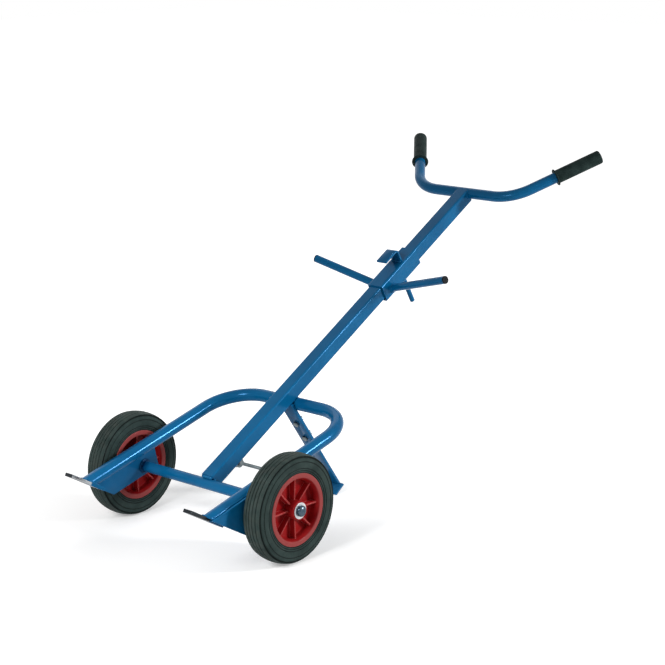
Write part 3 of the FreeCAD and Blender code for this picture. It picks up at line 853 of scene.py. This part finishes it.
def weld(joint, tail, body, path):
    """Rippled bead of weld metal along a path, painted over."""
    name = "weld_" + joint + tail
    radius = weld_radius[joint]
    chance = random.Random(name)
    points = resampled(path, weld_step)
    closed = (points[0] - points[-1]).length < weld_step
    beads, faces = [], []
    phase = chance.uniform(0, 1)
    for number, point in enumerate(points):
        ahead = points[min(number + 1, len(points) - 1)]
        behind = points[max(number - 1, 0)]
        along = (ahead - behind).normalized()
        first = along.orthogonal().normalized()
        second = along.cross(first)
        ripple = (number * weld_step / weld_pitch + phase) % 1
        uneven = chance.uniform(-weld_chance_share, weld_chance_share)
        size = radius * (1 + weld_ripple_share * (0.5 - ripple * ripple) + uneven)
        if not closed:
            end = min(number, len(points) - 1 - number) * weld_step / radius
            size *= math.sqrt(max(weld_tip_share, 1 - max(0.0, 1 - end) ** 2))
        for side in range(weld_sides):
            turn = 2 * math.pi * side / weld_sides
            beads.append(point + (first * math.cos(turn) + second * math.sin(turn)) * size)
        if number:
            base = (number - 1) * weld_sides
            for side in range(weld_sides):
                following = (side + 1) % weld_sides
                faces.append((base + side, base + following, base + weld_sides + following,
                              base + weld_sides + side))
    if not closed:
        faces.append(list(range(weld_sides)))
        faces.append(list(range(len(beads) - weld_sides, len(beads))))
    piece(name, smooth_mesh(name, beads, faces), body, "blue_paint")


def weld_middle():
    """Beads across the stem and the prop."""
    between = stem_angle - hoop_angle
    arch = hoop_arch * math.cos(between) + hoop_lift * math.sin(between)
    for tail, shift in {"_a": -arch_seam_shift, "_b": arch_seam_shift}.items():
        weld("arch", tail, "frame", crossing(on_stem, stem_seam_half, stem_half + bead_proud, arch + shift))
    weld("stem_front", "", "frame", crossing(on_stem, stem_seam_half, *stem_front_seam))
    weld("handle_front", "", "frame", crossing(on_stem, stem_seam_half, *handle_front_seam))
    weld("handle_under", "", "frame", crossing(on_stem, stem_seam_half, *handle_under_seam))
    weld("prop_arch", "", "frame", crossing(on_prop, prop_seam_half, *prop_arch_seam))
    weld("bracket", "", "frame", crossing(on_prop, bracket_seam_half, *bracket_seam))


def weld_side(tail, sign):
    """Beads on one side: round the axle tube, along the hoop's leg, on the toe and on the stem's flank."""
    around = axle_tube_radius + bead_proud
    centre = axle + across * (sign * (gusset_face - bead_proud))
    weld("axle", tail, "frame", ring(centre, Vector((0, around, 0)), Vector((0, 0, around))))
    for joint, inset, lower in (("hoop_over", hoop_over_inset, hoop_over_lower),
                                ("hoop_below", hoop_below_inset, hoop_below_lower)):
        x = sign * (gusset_face - inset)
        start = toe_line(hoop_lift - lower) + hoop_seam_start
        weld(joint, tail, "frame",
             [on_hoop(x, lower, start), on_hoop(x, lower, gusset_back - hoop_seam_end)])
    reach = hoop_radius + toe_bead_proud
    weld("toe", tail, "frame",
         [on_hoop(sign * hoop_leg + reach * math.cos(turn), reach * math.sin(turn),
                  toe_line(hoop_lift - reach * math.sin(turn)) + bead_proud) for turn in full_turn()])
    x = sign * (stem_half + flank_bead_proud)
    weld("stem", tail, "frame",
         [on_stem(x, stem_rise + stem_seam_radius * math.sin(turn), stem_seam_radius * math.cos(turn))
          for turn in map(math.radians, stem_seam_degrees)])
    weld("handle", tail, "frame",
         [on_stem(x, handle_seam_radius * math.sin(turn) - handle_lift,
                  handle_station - handle_seam_radius * math.cos(turn))
          for turn in map(math.radians, handle_seam_degrees)])


def weld_slider():
    """Beads where the arms, the claw and the pull rod stand on the sleeve."""
    lower = on_stem(0, 1, 0) - on_stem(0, 0, 0)
    for name, sign in sides.items():
        centre = on_stem(sign * arm_seam_face, *arm_seam)
        weld("arm", "_" + name, "slider",
             ring(centre, lower * arm_seam_radii[0], slope * arm_seam_radii[1]))
    for tail, seam in claw_seams.items():
        weld("claw", tail, "slider", crossing(on_stem, claw_seam_half, *seam))
    weld("pull", "", "slider",
         ring(on_stem(0, *pull_seam), across * pull_seam_radius, slope * pull_seam_radius))


def seen_rays(tree):
    """1 for rays from the camera, from a gloss or through a clear piece, and 0 for all others."""
    path = tree.nodes.new("ShaderNodeLightPath")
    seen = path.outputs["Is Camera Ray"]
    for kind in ("Is Glossy Ray", "Is Transmission Ray"):
        either = tree.nodes.new("ShaderNodeMath")
        either.operation = "MAXIMUM"
        tree.links.new(seen, either.inputs[0])
        tree.links.new(path.outputs[kind], either.inputs[1])
        seen = either.outputs[0]
    return seen


def make_stage():
    """Pale floor that keeps the shadow near the object and glows white farther out."""
    half = floor_size / 2
    mesh = bpy.data.meshes.new("studio_floor")
    mesh.from_pydata([(-half, -half, 0), (half, -half, 0), (half, half, 0), (-half, half, 0)], [],
                     [(0, 1, 2, 3)])
    ground = Finish("studio_floor", Roughness=0.9, Specular_IOR_Level=0.0, Emission_Color=(1, 1, 1, 1))
    pale, paler = (0.80, 0.80, 0.80), (0.82, 0.82, 0.82)
    colour = ground.mix(ground.patches(0.3, 0.7, scale=3.0, detail=2.0), pale, paler)
    away = ground.vector("DISTANCE", ground.place, axle, "Value")
    glow = ground.both(seen_rays(ground.tree), ground.span(away, *floor_glow_reach, *floor_glow))
    ground.set(Base_Color=colour, Emission_Strength=glow)
    mesh.materials.append(ground.material)
    floor = bpy.data.objects.new("studio_floor", mesh)
    bpy.context.scene.collection.objects.link(floor)


def make_sky():
    """Soft all-round light that shows as white behind the object."""
    world = bpy.data.worlds.new("studio")
    world.use_nodes = True
    bpy.context.scene.world = world
    tree = world.node_tree
    sky = tree.nodes["Background"]
    sky.inputs["Color"].default_value = (1, 1, 1, 1)
    level = tree.nodes.new("ShaderNodeMapRange")
    tree.links.new(seen_rays(tree), level.inputs["Value"])
    level.inputs["To Min"].default_value = sky_strength
    level.inputs["To Max"].default_value = 1.0
    tree.links.new(level.outputs[0], sky.inputs["Strength"])


def softbox(name, direction, distance, size, spread, power):
    """Lamp that shines at the axle from a direction and is not seen by the camera."""
    direction = Vector(direction)
    data = bpy.data.lights.new(name, "AREA")
    data.shape = "RECTANGLE"
    data.size, data.size_y = size
    data.spread = math.radians(spread)
    data.energy = power
    lamp = bpy.data.objects.new(name, data)
    lamp.visible_camera = False
    lamp.location = axle + direction.normalized() * distance
    lamp.rotation_euler = direction.to_track_quat("Z", "Y").to_euler()
    bpy.context.scene.collection.objects.link(lamp)


def make_camera():
    """Camera that sees the object as the photo does."""
    data = bpy.data.cameras.new("photo_camera")
    data.lens = camera_lens
    data.sensor_width = camera_sensor
    camera = bpy.data.objects.new("photo_camera", data)
    camera.location = Vector((axle.x, axle.y, 0)) + camera_from_axle
    camera.rotation_euler = camera_turn
    bpy.context.scene.collection.objects.link(camera)
    bpy.context.scene.camera = camera


# Finish on every CAD node, by the slot that the record gives it
for part in frame["record"]["subparts"]:
    node = frame["nodes"][part["node"]]
    node.data.materials.clear()
    node.data.materials.append(finishes[part["material_slot"]])

# Pieces with finer shapes than their CAD nodes, and the weld beads
for name, sign in sides.items():
    dress_tyre(name, sign)
    dress_rim(name, sign)
    dress_cap(name, sign)
    dress_grip(name, sign)
    for node in ("gusset_", "toe_"):
        dress_softened(node + name)
for node in ("prop_leg", "prop_foot", "stand_bracket", "stay_lug", "rim_claw"):
    dress_softened(node)
for node in ("prop_bolts", "prop_nuts", "stay_bolt", "stay_nut"):
    dress_softened(node, bolt_edge_round)
weld_middle()
for name, sign in sides.items():
    weld_side("_" + name, sign)
weld_slider()

make_stage()
make_sky()
for name, values in softboxes.items():
    softbox(name, **values)
make_camera()
bpy.context.scene.view_settings.view_transform = "Standard"
